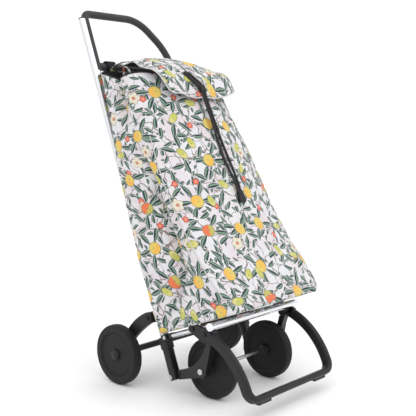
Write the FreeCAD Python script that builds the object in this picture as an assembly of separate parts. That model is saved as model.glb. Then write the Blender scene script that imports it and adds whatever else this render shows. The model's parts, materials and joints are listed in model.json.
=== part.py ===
"""Shopping trolley on wheels: aluminium frame, asymmetric grip, cloth bag, four wheels.

Row frame in millimetres: +Z up, -Y the front, X across, origin under the middle of the
overall box on the ground.  The frame leans back, so most parts are built in lean axes:
x across, t forward, s up along the uprights, zero where the platform meets the posts.
"""
import FreeCAD, Part
import math
import os
from FreeCAD import Placement, Rotation, Vector

# ---- driving dimensions ----
LEAN_ANGLE = 21.0
FRONT_AXLE_Y = -145.7
REAR_AXLE_Y = FRONT_AXLE_Y + 263.0
LEAN_Y, LEAN_Z = FRONT_AXLE_Y + 134.0, 148.0
FRONT_WHEEL_R, REAR_WHEEL_R = 80.5, 82.5
WHEEL_WIDTH = 28.0
FRONT_WHEEL_X, REAR_WHEEL_X = 114.0, 209.0
AXLE_R = 5.0
RUN_FIT = 0.05

UPRIGHT_X = 157.0
UPRIGHT_WIDE, UPRIGHT_DEEP, UPRIGHT_WALL = 26.0, 16.0, 1.8
UPRIGHT_TOP = {-1: 919.0, 1: 790.0}
POST_BOTTOM, POST_FLOOR, PIN_S = -118.0, 20.0, -108.0
COLLAR_BOTTOM, COLLAR_TOP = -34.0, -2.0

GRIP_LEG_X, GRIP_TOP = 149.0, 937.5
GRIP_A, GRIP_B = 11.0, 10.0
CROSSBAR_S, CROSSBAR_HALF_HEIGHT, CROSSBAR_HALF_DEPTH = 775.0, 12.0, 9.0

RAIL_S, RAIL_HIGH, RAIL_DEEP = -4.0, 14.0, 24.0
RAIL_ARM_X, RAIL_FRONT_T, RAIL_BAR_HALF = 158.0, 205.0, 177.0
FRONT_BAR_S, FRONT_BAR_HIGH = -7.0, 20.0
HINGE_T, HINGE_R, HINGE_PIN_R = 17.0, 8.0, 3.0

LOOP_X, LOOP_THICK, LOOP_WIDE = 168.0, 17.0, 30.0
LOOP_ROOT = (FRONT_AXLE_Y - 45.0, 181.0)
LOOP_KNEE = (FRONT_AXLE_Y - 112.0, 141.0)
LOOP_SHIN = (FRONT_AXLE_Y - 159.0, 78.0)
LOOP_CORNER_R, LOOP_STRAIGHT = 26.0, 8.0
BRACKET_INNER_X, BRACKET_OUTER_X = 138.0, 158.0
BOLT_R, HEAD_R, HEAD_HIGH = 4.0, 6.5, 3.0
BOLT_A, BOLT_B = (130.0, 0.0), (166.0, -22.0)

ARM_INNER_X, ARM_OUTER_X = 177.0, 190.0
REAR_PIVOT = (-14.0, 57.0)

BAG_WALL, BAG_BACK_T, BAG_FLOOR_S = 4.0, 10.5, 5.0
FLAP_HALF, FLAP_THICK = 152.0, 3.0
CORD_R = 3.5

SIDES = {"left": -1, "right": 1}


# ---- helpers ----
def lean_point(x, t, s):
    """A point given in lean axes, before the lean is applied."""
    return Vector(x, -t, s)


def leaned(shape):
    """Tilts a shape built in lean axes back about the foot of the uprights."""
    result = shape.copy()
    tilt = Rotation(Vector(1, 0, 0), -LEAN_ANGLE)
    result.Placement = Placement(Vector(0, LEAN_Y, LEAN_Z), tilt).multiply(result.Placement)
    return result


def row_to_lean(y, z):
    """Row-frame Y and Z as lean-axis t and s."""
    angle = math.radians(LEAN_ANGLE)
    dy, dz = y - LEAN_Y, z - LEAN_Z
    t = -dy * math.cos(angle) + dz * math.sin(angle)
    s = dy * math.sin(angle) + dz * math.cos(angle)
    return t, s


def rod(radius, x0, x1, t, s):
    """Cylinder along X in lean axes."""
    low, high = min(x0, x1), max(x0, x1)
    return Part.makeCylinder(radius, high - low, lean_point(low, t, s), Vector(1, 0, 0))


def block(x0, x1, t0, t1, s0, s1):
    """Box in lean axes."""
    xs, ts, ss = sorted((x0, x1)), sorted((t0, t1)), sorted((s0, s1))
    size = (xs[1] - xs[0], ts[1] - ts[0], ss[1] - ss[0])
    return Part.makeBox(*size, lean_point(xs[0], ts[1], ss[0]))


def stadium(wide, deep):
    """Flat-oval outline on the XY plane about the origin, long way along X."""
    r = deep / 2.0
    c = wide / 2.0 - r
    top = Part.LineSegment(Vector(c, r, 0), Vector(-c, r, 0))
    left = Part.Arc(Vector(-c, r, 0), Vector(-c - r, 0, 0), Vector(-c, -r, 0))
    low = Part.LineSegment(Vector(-c, -r, 0), Vector(c, -r, 0))
    right = Part.Arc(Vector(c, -r, 0), Vector(c + r, 0, 0), Vector(c, r, 0))
    return Part.Wire([edge.toShape() for edge in (top, left, low, right)])


def oval_bar(wide, deep, x, s0, s1):
    """Flat-oval bar standing along s at x."""
    outline = Part.Face(stadium(wide, deep))
    outline.translate(Vector(x, 0, s0))
    return outline.extrude(Vector(0, 0, s1 - s0))


def sideways_outline(points, x0, x1):
    """Prism across X whose outline is given by (t, s) points and three-point arcs."""
    edges = []
    here = points[0]
    for item in points[1:] + [points[0]]:
        start = lean_point(x0, *here)
        if isinstance(item[0], tuple):
            middle, here = item
            edges.append(Part.Arc(start, lean_point(x0, *middle), lean_point(x0, *here)).toShape())
        else:
            here = item
            edges.append(Part.makeLine(start, lean_point(x0, *here)))
    return Part.Face(Part.Wire(edges)).extrude(Vector(x1 - x0, 0, 0))


def save(name, shape, lean=True):
    """Writes one node."""
    result = leaned(shape) if lean else shape
    result.exportStep("parts/" + name + ".step")


# ---- main frame ----
def upright(side):
    """Flat-oval tube from inside the post up to the grip."""
    x = side * UPRIGHT_X
    low, high = POST_BOTTOM + POST_FLOOR, UPRIGHT_TOP[side]
    inner = oval_bar(UPRIGHT_WIDE - 2 * UPRIGHT_WALL, UPRIGHT_DEEP - 2 * UPRIGHT_WALL, x, low, high)
    return oval_bar(UPRIGHT_WIDE, UPRIGHT_DEEP, x, low, high).cut(inner)


def upright_envelope(side, extra=0.0):
    """Solid that the upright and its cap fill."""
    return oval_bar(UPRIGHT_WIDE, UPRIGHT_DEEP, side * UPRIGHT_X, POST_BOTTOM, UPRIGHT_TOP[side] + extra)


def upright_cap(side):
    """Plastic plug that closes the top of an upright."""
    x, top = side * UPRIGHT_X, UPRIGHT_TOP[side]
    plug = oval_bar(UPRIGHT_WIDE - 2 * UPRIGHT_WALL, UPRIGHT_DEEP - 2 * UPRIGHT_WALL, x, top - 12, top)
    return plug.fuse(oval_bar(UPRIGHT_WIDE, UPRIGHT_DEEP, x, top, top + 3)).removeSplitter()


def grip_path():
    """Asymmetric D: tight near corner, level top, long shoulder down to the far leg."""
    corner, shoulder, sweep, slope = 19.0, 105.0, 160.0, math.radians(48.0)
    top_end = 8.0
    x = [-GRIP_LEG_X, -GRIP_LEG_X + corner, top_end, top_end + shoulder * math.sin(slope)]
    s_shoulder = GRIP_TOP - shoulder * (1 - math.cos(slope))
    run = (GRIP_LEG_X - sweep * (1 - math.sin(slope)) - x[3]) / math.cos(slope)
    x_run = x[3] + run * math.cos(slope)
    s_run = s_shoulder - run * math.sin(slope)
    s_far = s_run - sweep * math.cos(slope)
    foot = CROSSBAR_S - CROSSBAR_HALF_HEIGHT

    def bend(cx, cs, radius, a0, a1):
        """Arc in the grip's plane, angles from +X."""
        spots = [math.radians(a) for a in (a0, (a0 + a1) / 2.0, a1)]
        pts = [Vector(cx + radius * math.cos(a), 0, cs + radius * math.sin(a)) for a in spots]
        return Part.Arc(*pts).toShape()

    tilt = 90.0 - math.degrees(slope)
    edges = [
        Part.makeLine(Vector(x[0], 0, foot), Vector(x[0], 0, GRIP_TOP - corner)),
        bend(x[1], GRIP_TOP - corner, corner, 180, 90),
        Part.makeLine(Vector(x[1], 0, GRIP_TOP), Vector(x[2], 0, GRIP_TOP)),
        bend(x[2], GRIP_TOP - shoulder, shoulder, 90, tilt),
        Part.makeLine(Vector(x[3], 0, s_shoulder), Vector(x_run, 0, s_run)),
        bend(GRIP_LEG_X - sweep, s_far, sweep, tilt, 0),
        Part.makeLine(Vector(GRIP_LEG_X, 0, s_far), Vector(GRIP_LEG_X, 0, s_far - 12)),
    ]
    return Part.Wire(edges)


def handle_grip():
    """One moulding: the D ring, its crossbar, and the halves that wrap the uprights."""
    section = Part.Ellipse(Vector(0, 0, 0), GRIP_A, GRIP_B).toShape()
    section.translate(Vector(-GRIP_LEG_X, 0, CROSSBAR_S - CROSSBAR_HALF_HEIGHT))
    ring = grip_path().makePipeShell([Part.Wire([section])], True, False)
    bar = Part.Ellipse(Vector(0, 0, 0), CROSSBAR_HALF_HEIGHT, CROSSBAR_HALF_DEPTH).toShape()
    bar = Part.Face(Part.Wire([bar]))
    bar.rotate(Vector(0, 0, 0), Vector(0, 1, 0), 90)
    bar.translate(Vector(-GRIP_LEG_X, 0, CROSSBAR_S))
    grip = ring.fuse(bar.extrude(Vector(2 * GRIP_LEG_X - 2, 0, 0)))
    for side in (-1, 1):
        grip = grip.cut(upright_envelope(side, 3.0))
    return max(grip.Solids, key=lambda solid: solid.Volume)


def post(side):
    """Black sleeve with a closed foot over the bottom of an upright."""
    x = side * UPRIGHT_X
    sleeve = oval_bar(UPRIGHT_WIDE + 6, UPRIGHT_DEEP + 6, x, POST_BOTTOM, COLLAR_BOTTOM)
    sleeve = sleeve.cut(oval_bar(UPRIGHT_WIDE, UPRIGHT_DEEP, x, POST_BOTTOM + POST_FLOOR, COLLAR_BOTTOM))
    return sleeve.cut(rod(BOLT_R, x - side * 20, x + side * 20, 0, PIN_S))


def post_collar(side):
    """Collar on the upright with the two ears that carry the platform's hinge pin."""
    x = side * UPRIGHT_X
    body = oval_bar(UPRIGHT_WIDE + 12, UPRIGHT_DEEP + 12, x, COLLAR_BOTTOM, COLLAR_TOP)
    for low, high in ((141.0, 149.5), (166.5, 175.0)):
        ear = rod(HINGE_R, side * low, side * high, HINGE_T, RAIL_S)
        ear = ear.fuse(block(side * low, side * high, 5, HINGE_T, RAIL_S - HINGE_R, RAIL_S + HINGE_R))
        body = body.fuse(ear)
    body = body.cut(oval_bar(UPRIGHT_WIDE, UPRIGHT_DEEP, x, COLLAR_BOTTOM, COLLAR_TOP + 20))
    body = body.cut(block(side * 149.5, side * 166.5, 5, 30, RAIL_S - HINGE_R - 1, COLLAR_TOP + 20))
    return body.cut(rod(HINGE_PIN_R, side * 138, side * 178, HINGE_T, RAIL_S)).removeSplitter()


def hinge_pin(side):
    """Pin through the collar's ears, with a low head outside."""
    pin = rod(HINGE_PIN_R, side * 141, side * 175, HINGE_T, RAIL_S)
    return pin.fuse(rod(HINGE_PIN_R + 2, side * 175, side * 176.5, HINGE_T, RAIL_S))


def post_pin(side):
    """Cross pin at the foot of a post: round head outside, catch stub inside."""
    x = side * UPRIGHT_X
    pin = rod(BOLT_R, x - side * 23, x + side * 16, 0, PIN_S)
    return pin.fuse(rod(HEAD_R, x + side * 16, x + side * 18.5, 0, PIN_S))


def rear_clamp(side):
    """Block gripping the upright, with a stub behind it on which the rear arm turns."""
    t, s = REAR_PIVOT
    body = block(side * 140, side * 176, -30, 9.5, s - 15, s + 15)
    body = body.makeFillet(6, [e for e in body.Edges if abs(e.tangentAt(e.FirstParameter).z) > 0.9])
    body = body.cut(upright_envelope(side))
    stub = rod(BOLT_R, side * 176, side * (ARM_OUTER_X + 1), t, s)
    return body.fuse(stub).removeSplitter()


def rear_pivot_nut(side):
    """Domed nut that holds the arm on its stub."""
    t, s = REAR_PIVOT
    x = side * (ARM_OUTER_X + 1)
    return rod(HEAD_R, x, x + side * 2.5, t, s)


# ---- platform and front loop ----
def rail_fitting(side):
    """Plug in the end of a platform arm with the hinge tongue between the ears."""
    tongue = rod(HINGE_R, side * 150, side * 166, HINGE_T, RAIL_S)
    tongue = tongue.fuse(block(side * 150, side * 166, HINGE_T, 29, RAIL_S - 6.5, RAIL_S + 6.5))
    plug = block(side * (RAIL_ARM_X - 12), side * (RAIL_ARM_X + 12), 28, 40, RAIL_S - 7, RAIL_S + 7)
    tongue = tongue.fuse(plug)
    return tongue.cut(rod(HINGE_PIN_R + RUN_FIT, side * 149, side * 167, HINGE_T, RAIL_S)).removeSplitter()


def rail_arm(side):
    """Side arm of the platform, flat-oval, lying forward from the fitting."""
    arm = Part.Face(stadium(RAIL_DEEP, RAIL_HIGH))
    arm.rotate(Vector(0, 0, 0), Vector(1, 0, 0), 90)
    arm.translate(Vector(side * RAIL_ARM_X, -40, RAIL_S))
    arm = arm.extrude(Vector(0, -(RAIL_FRONT_T - RAIL_DEEP - 40), 0))
    return arm.cut(rod(BOLT_R, side * 159, side * 176, *BOLT_A))


def rail_front_bar():
    """Polished front bar of the platform with softly rounded ends."""
    bar = Part.Face(stadium(RAIL_DEEP, FRONT_BAR_HIGH))
    bar.rotate(Vector(0, 0, 0), Vector(0, 0, 1), 90)
    bar.rotate(Vector(0, 0, 0), Vector(0, 1, 0), 90)
    bar.translate(Vector(-RAIL_BAR_HALF, -(RAIL_FRONT_T - RAIL_DEEP / 2.0), FRONT_BAR_S))
    return bar.extrude(Vector(2 * RAIL_BAR_HALF, 0, 0))


def loop_path():
    """Row-frame centre line of the front loop: down one leg, across, and up the other."""
    chord_y, chord_z = LOOP_SHIN[0] - LOOP_ROOT[0], LOOP_SHIN[1] - LOOP_ROOT[1]
    leg = {}
    for side in (-1, 1):
        root, knee, shin = (Vector(side * LOOP_X, y, z) for y, z in (LOOP_ROOT, LOOP_KNEE, LOOP_SHIN))
        leg[side] = Part.Arc(root, knee, shin).toShape()
    down = leg[-1].tangentAt(leg[-1].LastParameter)
    if down.z > 0:
        down = down * -1
    inward = Vector(1, 0, 0)
    start = Vector(-LOOP_X, *LOOP_SHIN)
    bend = start + down * LOOP_STRAIGHT
    low = bend + down * LOOP_CORNER_R + inward * LOOP_CORNER_R
    cut = LOOP_CORNER_R * (1 - math.sqrt(0.5))
    middle = bend + down * (LOOP_CORNER_R - cut) + inward * cut

    def mirror(point):
        """The same point on the right."""
        return Vector(-point.x, point.y, point.z)

    return Part.Wire([
        leg[-1],
        Part.makeLine(start, bend),
        Part.Arc(bend, middle, low).toShape(),
        Part.makeLine(low, mirror(low)),
        Part.Arc(mirror(low), mirror(middle), mirror(bend)).toShape(),
        Part.makeLine(mirror(bend), mirror(start)),
        leg[1],
    ])


def loop_tube():
    """Flat-oval tube swept round the loop, in row axes."""
    path = loop_path()
    first = path.Edges[0]
    along = first.tangentAt(first.FirstParameter)
    section = stadium(LOOP_WIDE, LOOP_THICK)
    across = Vector(0, -along.z, along.y)
    section.Placement = Placement(Vector(-LOOP_X, *LOOP_ROOT), Rotation(across, Vector(1, 0, 0), along, "XYZ"))
    return path.makePipeShell([section], True, False)


def loop_plate(side):
    """Flattened root of a loop leg, bolted to the outside of the platform arm."""
    inner, outer = side * (RAIL_ARM_X + 12.5), side * (LOOP_X + LOOP_THICK / 2.0)
    outline = [(116, -2), (119, 10), (132, 15), (146, 11), (190, -23), (180, -46), (166, -44), (150, -36)]
    return sideways_outline(outline, inner, outer)


def front_loop():
    """Matt black loop: swept tube with its two bolted root plates."""
    loop = loop_tube()
    for side in (-1, 1):
        plate = leaned(loop_plate(side))
        loop = loop.fuse(plate)
    for side in (-1, 1):
        for spot in (BOLT_A, BOLT_B):
            loop = loop.cut(leaned(rod(BOLT_R, side * 150, side * 190, *spot)))
        clear = block(side * 140, side * 170.5, 20, RAIL_FRONT_T, RAIL_S - 8, RAIL_S + 30)
        loop = loop.cut(leaned(clear))
    low = FRONT_BAR_S - FRONT_BAR_HIGH / 2.0 - 1
    bar = block(-RAIL_BAR_HALF - 1, RAIL_BAR_HALF + 1, 180, RAIL_FRONT_T + 1, low, low + 50)
    return loop.cut(leaned(bar))


def loop_pad(side, loop):
    """Thin wear strip under one end of the loop's bottom bar, in row axes."""
    strip = Part.makeBox(48, 18, 8, Vector(-24 + side * 116, FRONT_AXLE_Y - 179, 33))
    return max(strip.cut(loop).Solids, key=lambda solid: solid.Volume)


def bracket(side):
    """Thick plastic carrier: from bolt B down to the front axle and back to the post."""
    hub_t, hub_s = row_to_lean(FRONT_AXLE_Y, FRONT_WHEEL_R)
    low, high = side * BRACKET_INNER_X, side * BRACKET_OUTER_X
    outline = [
        (13, -120), (hub_t, -126), (hub_t + 14, -118), (141, -82), (157, -56), (179, -30),
        (155, -31), ((118, -72), (50, -96)), (13, -96),
    ]
    body = sideways_outline(outline, low, high)
    body = body.fuse(rod(17, low, high, hub_t, hub_s))
    body = body.fuse(rod(10.5, low, high, *BOLT_B))
    body = body.cut(rod(AXLE_R + RUN_FIT, side * 130, side * 170, hub_t, hub_s))
    body = body.cut(rod(BOLT_R, side * 130, side * 170, *BOLT_B))
    return body.removeSplitter()


def catch(side):
    """Steel fork on the bracket that hooks over the stub of the post's cross pin."""
    low, high = side * (BRACKET_INNER_X - 4.5), side * BRACKET_INNER_X
    fork = block(low, high, -9, 60, PIN_S - 12, PIN_S + 12)
    return fork.cut(block(low, high, -9, 5.5, PIN_S - 6.5, PIN_S + 6.5))


def loop_bolts():
    """Domed bolts A and B on both sides, with the spacers of bolt B."""
    outer = LOOP_X + LOOP_THICK / 2.0
    group = []
    for side in (-1, 1):
        a = rod(BOLT_R, side * 159, side * outer, *BOLT_A)
        group.append(a.fuse(rod(HEAD_R, side * outer, side * (outer + HEAD_HIGH), *BOLT_A)))
        b = rod(BOLT_R, side * BRACKET_INNER_X, side * outer, *BOLT_B)
        group.append(b.fuse(rod(HEAD_R, side * outer, side * (outer + HEAD_HIGH), *BOLT_B)))
    return Part.makeCompound(group)


def bolt_spacer(side):
    """Sleeve round bolt B between the bracket and the loop."""
    spacer = rod(9, side * BRACKET_OUTER_X, side * (LOOP_X - LOOP_THICK / 2.0 + 11), *BOLT_B)
    return spacer.cut(rod(BOLT_R, side * 150, side * 190, *BOLT_B))


# ---- axles, wheels and rear frame ----
def axle(half, y, z):
    """Steel rod across the trolley, in row axes."""
    return Part.makeCylinder(AXLE_R, 2 * half, Vector(-half, y, z), Vector(1, 0, 0))


def axle_nuts(inner, y, z):
    """Push-on cap nuts on both ends of an axle, in row axes."""
    nuts = []
    for side in (-1, 1):
        nut = Part.makeCylinder(8, 5, Vector(side * inner, y, z), Vector(side, 0, 0))
        nut = nut.makeFillet(1.5, [edge for edge in nut.Edges if edge.Closed and
                                   abs(edge.CenterOfMass.x) > inner + 4])
        nuts.append(nut.cut(Part.makeCylinder(AXLE_R, 3, Vector(side * inner, y, z), Vector(side, 0, 0))))
    return Part.makeCompound(nuts)


def tyre(side, x, y, radius, rings):
    """Moulded wheel body turned about its axle: round tread, dished face with rings."""
    half, bore = WHEEL_WIDTH / 2.0, 15.0
    face = half - 4
    profile = [(bore, -face), (radius * 0.72, -face), (radius * 0.80, -half), (radius - 7, -half)]
    tread = [(radius - 7, half), (radius * 0.80, half), (radius * 0.72, face), (bore, face)]
    points = [Vector(u, r, 0) for r, u in profile + tread]
    crown = Part.Arc(points[3], Vector(0, radius, 0), points[4]).toShape()
    edges = [Part.makeLine(points[i], points[i + 1]) for i in (0, 1, 2)] + [crown]
    edges += [Part.makeLine(points[i], points[(i + 1) % 8]) for i in (4, 5, 6, 7)]
    body = Part.Face(Part.Wire(edges)).revolve(Vector(0, 0, 0), Vector(1, 0, 0), 360)
    for share in rings:
        groove = Part.makeTorus(radius * share, 1.2, Vector(side * face, 0, 0), Vector(1, 0, 0))
        body = body.cut(groove)
    body.translate(Vector(side * x, y, radius))
    return body


def hub(side, x, y, z, inner, outer):
    """Bush in the middle of a wheel that runs on the axle, in row axes."""
    length = abs(outer - inner)
    start = Vector(side * min(inner, outer), y, z)
    body = Part.makeCylinder(15.0, length, start, Vector(side, 0, 0))
    return body.cut(Part.makeCylinder(AXLE_R + RUN_FIT, length, start, Vector(side, 0, 0)))


def rear_arm(side):
    """Curved arm from the upright's stub back and down to the rear axle."""
    hub_t, hub_s = row_to_lean(REAR_AXLE_Y, REAR_WHEEL_R)
    t, s = REAR_PIVOT
    low, high = side * ARM_INNER_X, side * ARM_OUTER_X
    outline = [
        (t, s + 16), ((-84, 54), (hub_t - 18, hub_s + 4)), (hub_t + 16, hub_s + 8),
        ((-74, 22), (t, s - 16)),
    ]
    arm = sideways_outline(outline, low, high)
    arm = arm.fuse(rod(16, low, high, t, s)).fuse(rod(18, low, high, hub_t, hub_s))
    arm = arm.cut(rod(BOLT_R + RUN_FIT, side * 170, side * 200, t, s))
    return arm.cut(rod(AXLE_R, side * 170, side * 200, hub_t, hub_s)).removeSplitter()


def rear_axle_tube():
    """Black tube round the rear axle between the two arms, in row axes."""
    start = Vector(-ARM_INNER_X, REAR_AXLE_Y, REAR_WHEEL_R)
    tube = Part.makeCylinder(9, 2 * ARM_INNER_X, start, Vector(1, 0, 0))
    return tube.cut(Part.makeCylinder(AXLE_R, 2 * ARM_INNER_X, start, Vector(1, 0, 0)))


# ---- bag, flap and pull cord ----
def bag_section(s, half, front, bulge, inset=0.0):
    """Closed outline at one height: flat back, straight sides, bowed front."""
    h, f, b = half - inset, front - inset, BAG_BACK_T + inset
    corners = [lean_point(-h, b, s), lean_point(h, b, s), lean_point(h, f, s), lean_point(-h, f, s)]
    bow = Part.Arc(corners[2], lean_point(0, f + bulge, s), corners[3]).toShape()
    edges = [Part.makeLine(corners[0], corners[1]), Part.makeLine(corners[1], corners[2]), bow]
    return Part.Wire(edges + [Part.makeLine(corners[3], corners[0])])


# height, half width, front edge, bow of the front panel
BAG_RIBS = (
    (BAG_FLOOR_S, 156.0, 240.0, 2.0), (16.0, 157.0, 262.0, 4.0), (34.0, 177.0, 273.0, 6.0),
    (168.0, 190.0, 224.0, 22.0), (350.0, 191.0, 170.0, 46.0), (510.0, 181.0, 155.0, 58.0),
    (640.0, 164.0, 146.0, 60.0), (790.0, 150.0, 120.0, 50.0),
)


def bag_shell():
    """Hollow cloth bag, deep at the foot, with a slanting open mouth."""
    outer = Part.makeLoft([bag_section(*rib) for rib in BAG_RIBS], True, True)
    inner_ribs = [bag_section(*rib, inset=BAG_WALL) for rib in BAG_RIBS]
    inner = Part.makeLoft(inner_ribs, True, True)
    floor = block(-200, 200, 0, 300, 0, BAG_FLOOR_S + BAG_WALL)
    shell = outer.cut(inner.cut(floor))
    above = [(-20, 755), (12, 755), (250, 634), (250, 900), (-20, 900)]
    return shell.cut(sideways_outline(above, -220, 220))


def bag_base_board():
    """Stiff board lying on the floor of the bag."""
    floor = BAG_FLOOR_S + BAG_WALL
    return block(-140, 140, 36, 232, floor, floor + 3)


def bag_loop(side):
    """Cloth loop that hangs the bag from the grip's crossbar."""
    low = side * 105 - 15
    ring = Part.makeCylinder(1, 30, Vector(low, 0, 0), Vector(1, 0, 0))
    outer, inner = FreeCAD.Matrix(), FreeCAD.Matrix()
    outer.scale(Vector(1, CROSSBAR_HALF_DEPTH + 2.2, CROSSBAR_HALF_HEIGHT + 2.2))
    inner.scale(Vector(1, CROSSBAR_HALF_DEPTH + 0.3, CROSSBAR_HALF_HEIGHT + 0.3))
    cloth = ring.transformGeometry(outer)
    hole = ring.transformGeometry(inner)
    cloth.translate(Vector(0, 0, CROSSBAR_S))
    hole.translate(Vector(0, 0, CROSSBAR_S))
    tab = block(low, low + 30, 9.5, 12, 755, CROSSBAR_S - 8)
    return cloth.fuse(tab).cut(hole).removeSplitter()


# underside of the flap from its back edge over the dome to the hem: t, s
FLAP_PROFILE = ((16.5, 770.0), (100.0, 760.0), (177.0, 700.0), (206.0, 652.0), (214.5, 598.0))
RING_LONG, RING_WIDE, RING_TILT = 74.0, 26.0, 26.6
RING_PLACE = (-4.0, 208.0, 650.0)
CORD_TOP_S, CORD_LOW_S = 612.0, 322.0


def bag_flap():
    """Curved sheet over the mouth: domed top, then down over the front."""
    back, crown, edge, nose, hem = FLAP_PROFILE
    lift = {}
    for point, angle in ((back, 90), (crown, 70), (edge, 47), (nose, 20), (hem, 3)):
        tilt = math.radians(angle)
        lift[point] = (point[0] + FLAP_THICK * math.cos(tilt), point[1] + FLAP_THICK * math.sin(tilt))
    outline = [back, (crown, edge), (nose, hem), lift[hem], (lift[nose], lift[edge]), (lift[crown], lift[back])]
    return sideways_outline(outline, -FLAP_HALF, FLAP_HALF)


def flap_ring(flap):
    """Long oval eyelet on the flap, with the low boss that the pull cord leaves."""
    deep = 13.0
    ring = Part.Face(stadium(RING_LONG, RING_WIDE)).extrude(Vector(0, 0, deep))
    ring = ring.cut(Part.Face(stadium(RING_LONG - 18, 8)).extrude(Vector(0, 0, deep)))
    ring.rotate(Vector(0, 0, 0), Vector(0, 0, 1), 90)
    ring.translate(Vector(0, 0, -5))
    ring.rotate(Vector(0, 0, 0), Vector(1, 0, 0), 90 - RING_TILT)
    ring.translate(lean_point(*RING_PLACE))
    boss = block(-6, 16, 214, 229, CORD_TOP_S, CORD_TOP_S + 18)
    ring = ring.fuse(boss).cut(flap)
    return max(ring.Solids, key=lambda solid: solid.Volume)


def cord_route(side):
    """Route of one strand of the pull cord down the front of the bag."""
    drift = (5.0, 5.0, 9.0, 14.0, 18.5, 22.5, 27.0, 27.0)
    spread = {-1: (4.2, 4.2, 4.6, 5.4, 8.6, 9.4, 4.6, 4.6), 1: (4.2, 4.2, 4.4, 5.0, 7.6, 9.8, 4.6, 4.6)}
    depth = (223.5, 223.5, 224.5, 223.5, 223.0, 226.0, 232.5, 232.5)
    height = (CORD_TOP_S, 588.0, 545.0, 495.0, 445.0, 395.0, 348.0, CORD_LOW_S)
    return [lean_point(d + side * x, t, s) for d, x, t, s in zip(drift, spread[side], depth, height)]


def cord_tube(name, route):
    """Round tube of straight runs joined by the largest tangent arcs that fit."""
    edges, here = [], route[0]
    for before, corner, after in zip(route, route[1:], route[2:]):
        arrive, leave = corner - before, after - corner
        reach = 0.45 * min(arrive.Length, leave.Length)
        turn = arrive.getAngle(leave)
        radius = reach / math.tan(turn / 2.0)
        arrive.normalize()
        leave.normalize()
        start, end = corner - arrive * reach, corner + leave * reach
        inside = (leave - arrive).normalize()
        middle = corner + inside * (radius / math.cos(turn / 2.0) - radius)
        edges += [Part.makeLine(here, start), Part.Arc(start, middle, end).toShape()]
        here = end
        print("%s bend radius %.0f mm" % (name, radius))
    edges.append(Part.makeLine(here, route[-1]))
    path = Part.Wire(edges)
    length = path.Length
    along = (route[1] - route[0]).normalize()
    circle = Part.Wire([Part.makeCircle(CORD_R, route[0], along)])
    tube = path.makePipeShell([circle], True, False)
    print("%s length %.1f mm, volume ratio %.4f" % (name, length, tube.Volume / (math.pi * CORD_R ** 2 * length)))
    return tube


def cord_end():
    """Flared end piece that joins the two strands."""
    top, low = CORD_LOW_S, CORD_LOW_S - 34
    t0, t1, middle = 228.5, 238.5, 27.0
    corners = ((-9, top), (9, top), (13, low), (-13, low))
    face = [lean_point(middle + x, t0, s) for x, s in corners]
    body = Part.Face(Part.makePolygon(face + face[:1])).extrude(Vector(0, t0 - t1, 0))
    return body.makeFillet(2, [edge for edge in body.Edges if abs(edge.tangentAt(edge.FirstParameter).z) > 0.9])


def build():
    """Writes every node of the trolley."""
    os.makedirs("parts", exist_ok=True)
    loop = front_loop()
    front_y, rear_y = FRONT_AXLE_Y, REAR_AXLE_Y
    for name, side in SIDES.items():
        save("upright_" + name, upright(side))
        save("upright_cap_" + name, upright_cap(side))
        save("post_" + name, post(side))
        save("post_collar_" + name, post_collar(side))
        save("hinge_pin_" + name, hinge_pin(side))
        save("post_pin_" + name, post_pin(side))
        save("rear_clamp_" + name, rear_clamp(side))
        save("rear_pivot_nut_" + name, rear_pivot_nut(side))
        save("rail_fitting_" + name, rail_fitting(side))
        save("rail_arm_" + name, rail_arm(side))
        save("bracket_" + name, bracket(side))
        save("catch_" + name, catch(side))
        save("bolt_spacer_" + name, bolt_spacer(side))
        save("loop_pad_" + name, loop_pad(side, loop), lean=False)
        save("rear_arm_" + name, rear_arm(side))
        front = tyre(side, FRONT_WHEEL_X, front_y, FRONT_WHEEL_R, (0.40, 0.56))
        save("front_tyre_" + name, front, lean=False)
        save("front_hub_" + name, hub(side, FRONT_WHEEL_X, front_y, FRONT_WHEEL_R, 96, 131), lean=False)
        rear = tyre(side, REAR_WHEEL_X, rear_y, REAR_WHEEL_R, (0.34, 0.50))
        save("rear_tyre_" + name, rear, lean=False)
        save("rear_hub_" + name, hub(side, REAR_WHEEL_X, rear_y, REAR_WHEEL_R, 191, 223), lean=False)
        save("bag_loop_" + name, bag_loop(side))
    save("handle_grip", handle_grip())
    save("rail_front_bar", rail_front_bar())
    save("front_loop", loop, lean=False)
    save("loop_bolts", loop_bolts())
    save("front_axle", axle(BRACKET_OUTER_X + 3, front_y, FRONT_WHEEL_R), lean=False)
    save("front_axle_nuts", axle_nuts(BRACKET_OUTER_X, front_y, FRONT_WHEEL_R), lean=False)
    save("rear_axle", axle(226, rear_y, REAR_WHEEL_R), lean=False)
    save("rear_axle_nuts", axle_nuts(223.2, rear_y, REAR_WHEEL_R), lean=False)
    save("rear_axle_tube", rear_axle_tube(), lean=False)
    save("bag_shell", bag_shell())
    save("bag_base_board", bag_base_board())
    flap = bag_flap()
    save("bag_flap", flap)
    save("flap_ring", flap_ring(flap))
    for name, side in SIDES.items():
        save("pull_cord_" + name, cord_tube("pull_cord_" + name, cord_route(side)))
    save("cord_end", cord_end())


build()
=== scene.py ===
"""Looks of the folding shopping trolley: printed cloth bag, flap, cords, wheels and finishes.

Metres, in the row frame.  Soft parts are built in lean axes: x across, t forward from the
uprights, s up along them.
"""
import json
import math

import bpy
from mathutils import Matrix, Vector, noise


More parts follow.
